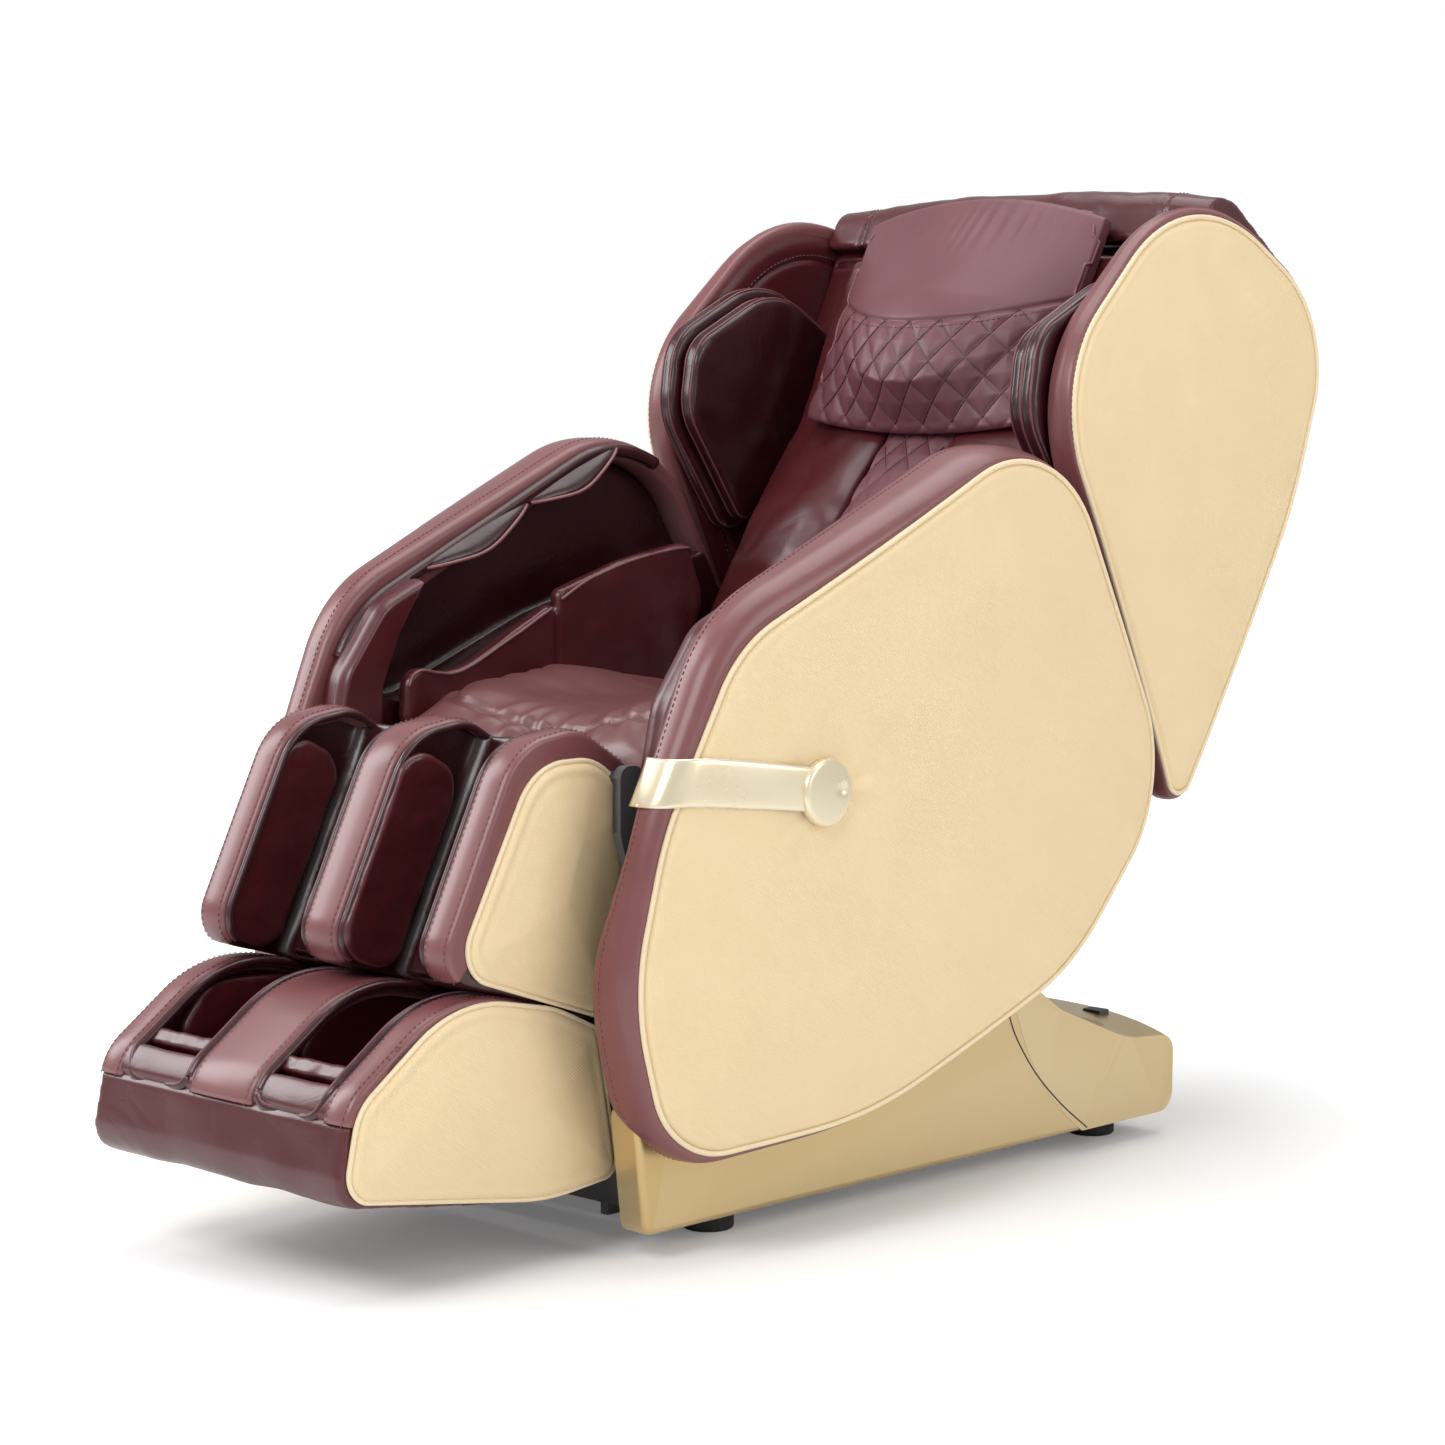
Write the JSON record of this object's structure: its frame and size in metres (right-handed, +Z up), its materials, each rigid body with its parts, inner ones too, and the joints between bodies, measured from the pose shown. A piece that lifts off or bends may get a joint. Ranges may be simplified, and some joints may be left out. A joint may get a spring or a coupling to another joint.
{
  "type": "massage chair",
  "caption": "Full-body massage chair with hooded wings, padded forearm channels, a quilted head pillow, calf and foot troughs, and a slide-and-recline base.",
  "frame": {"origin": "on the floor, at the middle of the chair's upright outline box", "axes": "+X to the sitter's left, +Y to the rear, +Z up"},
  "size_m": [0.78, 1.5417, 1.2158],
  "materials": {
    "burgundy_leather": "glossy",
    "cream_leather": "satin",
    "gold_plastic": "satin metallic",
    "black_plastic": "satin",
    "steel": "painted",
    "bright_steel": "satin",
    "aluminium": "satin",
    "rubber": "matte",
    "burgundy_cushion": "glossy"
  },
  "bodies": {
    "base": {"base_frame": "steel", "slide_rails": "bright_steel", "base_side_shell_left": "gold_plastic", "base_side_shell_right": "gold_plastic", "base_rear_cover": "gold_plastic", "base_front_cover": "black_plastic", "base_feet": "rubber", "power_box": "black_plastic", "air_pump_box": "black_plastic", "power_inlet": "black_plastic", "slide_actuator": "aluminium"},
    "wheels": {"transport_wheels": "rubber"},
    "switch": {"power_switch": "black_plastic"},
    "carriage": {"carriage_frame": "steel", "slide_actuator_rod": "bright_steel", "tilt_actuator": "aluminium"},
    "tilt_rod": {"tilt_actuator_rod": "bright_steel"},
    "seat": {"seat_frame": "steel", "seat_pad": "burgundy_cushion", "seat_base": "black_plastic", "back_actuator": "aluminium", "calf_actuator": "aluminium", "arm_core_left": "black_plastic", "arm_core_right": "black_plastic", "arm_panel_left": "cream_leather", "arm_panel_right": "cream_leather", "arm_rim_left": "burgundy_leather", "arm_rim_right": "burgundy_leather", "arm_flaps_left": "burgundy_cushion", "arm_flaps_right": "burgundy_cushion", "arm_pads_left": "burgundy_cushion", "arm_pads_right": "burgundy_cushion", "arm_strap_left": "gold_plastic", "arm_strap_right": "gold_plastic"},
    "back_rod": {"back_actuator_rod": "bright_steel"},
    "calf_rod": {"calf_actuator_rod": "bright_steel"},
    "back": {"back_frame": "steel", "back_pad_left": "burgundy_cushion", "back_pad_right": "burgundy_cushion", "back_strip": "burgundy_cushion", "back_top_cover": "burgundy_cushion", "back_housing": "burgundy_leather", "wing_panel_left": "cream_leather", "wing_panel_right": "cream_leather", "wing_core_left": "burgundy_leather", "wing_core_right": "burgundy_leather", "shoulder_bags_left": "burgundy_cushion", "shoulder_bags_right": "burgundy_cushion"},
    "massage": {"massage_carriage": "steel"},
    "heads": {"massage_heads": "rubber"},
    "pillow": {"head_pillow": "burgundy_cushion"},
    "calf": {"calf_shell": "black_plastic", "calf_panel_left": "cream_leather", "calf_panel_right": "cream_leather", "calf_bags": "burgundy_cushion", "calf_cushions": "burgundy_cushion"},
    "foot": {"foot_shell": "black_plastic", "foot_panel_left": "cream_leather", "foot_panel_right": "cream_leather", "foot_pads": "burgundy_cushion"}
  },
  "joints": [
    {"name": "carriage_slide", "type": "slide", "parent": "base", "child": "carriage", "axis": [0, -1, 0], "range_m": [0, 0.1]},
    {"name": "seat_tilt", "type": "hinge", "parent": "carriage", "child": "seat", "pos_m": [0, 0.0195, 0.25], "axis": [-1, 0, 0], "range_deg": [0, 15]},
    {"name": "tilt_rod_slide", "type": "slide", "parent": "carriage", "child": "tilt_rod", "axis": [0, 0.585, 0.8111], "range_m": [0, 0.0386]},
    {"name": "back_recline", "type": "hinge", "parent": "seat", "child": "back", "pos_m": [0, 0.2545, 0.405], "axis": [-1, 0, 0], "range_deg": [0, 40]},
    {"name": "back_rod_slide", "type": "slide", "parent": "seat", "child": "back_rod", "axis": [0, -1, 0], "range_m": [0, 0.0619]},
    {"name": "calf_lift", "type": "hinge", "parent": "seat", "child": "calf", "pos_m": [0, -0.3755, 0.535], "axis": [-1, 0, 0], "range_deg": [0, 60]},
    {"name": "calf_rod_slide", "type": "slide", "parent": "seat", "child": "calf_rod", "axis": [0, -1, 0], "range_m": [0, 0.1001]},
    {"name": "foot_extend", "type": "slide", "parent": "calf", "child": "foot", "axis": [0, -0.2961, -0.9552], "range_m": [0, 0.07]},
    {"name": "massage_travel", "type": "slide", "parent": "back", "child": "massage", "axis": [0, 0.4446, 0.8957], "range_m": [-0.12, 0.36]},
    {"name": "heads_swing", "type": "hinge", "parent": "massage", "child": "heads", "pos_m": [0, 0.35744, 0.68883], "axis": [1, 0, 0], "range_deg": [-8, 8]},
    {"name": "pillow_flip", "type": "hinge", "parent": "back", "child": "pillow", "pos_m": [0, 0.5375, 1.185], "axis": [-1, 0, 0], "range_deg": [0, 85]},
    {"name": "wheels_roll", "type": "hinge", "parent": "base", "child": "wheels", "pos_m": [0, -0.2605, 0.028], "axis": [1, 0, 0], "continuous": true},
    {"name": "switch_push", "type": "slide", "parent": "base", "child": "switch", "axis": [0, 0, -1], "range_m": [0, 0.002], "stiffness_N_per_m": 1500}
  ],
  "couplings": [
    {"joint": "carriage_slide", "follows": "back_recline", "m_per_rad": 0.14324},
    {"joint": "tilt_rod_slide", "follows": "seat_tilt", "m_per_rad": 0.1472},
    {"joint": "back_rod_slide", "follows": "back_recline", "m_per_rad": 0.08865},
    {"joint": "calf_rod_slide", "follows": "calf_lift", "m_per_rad": 0.095493}
  ]
}
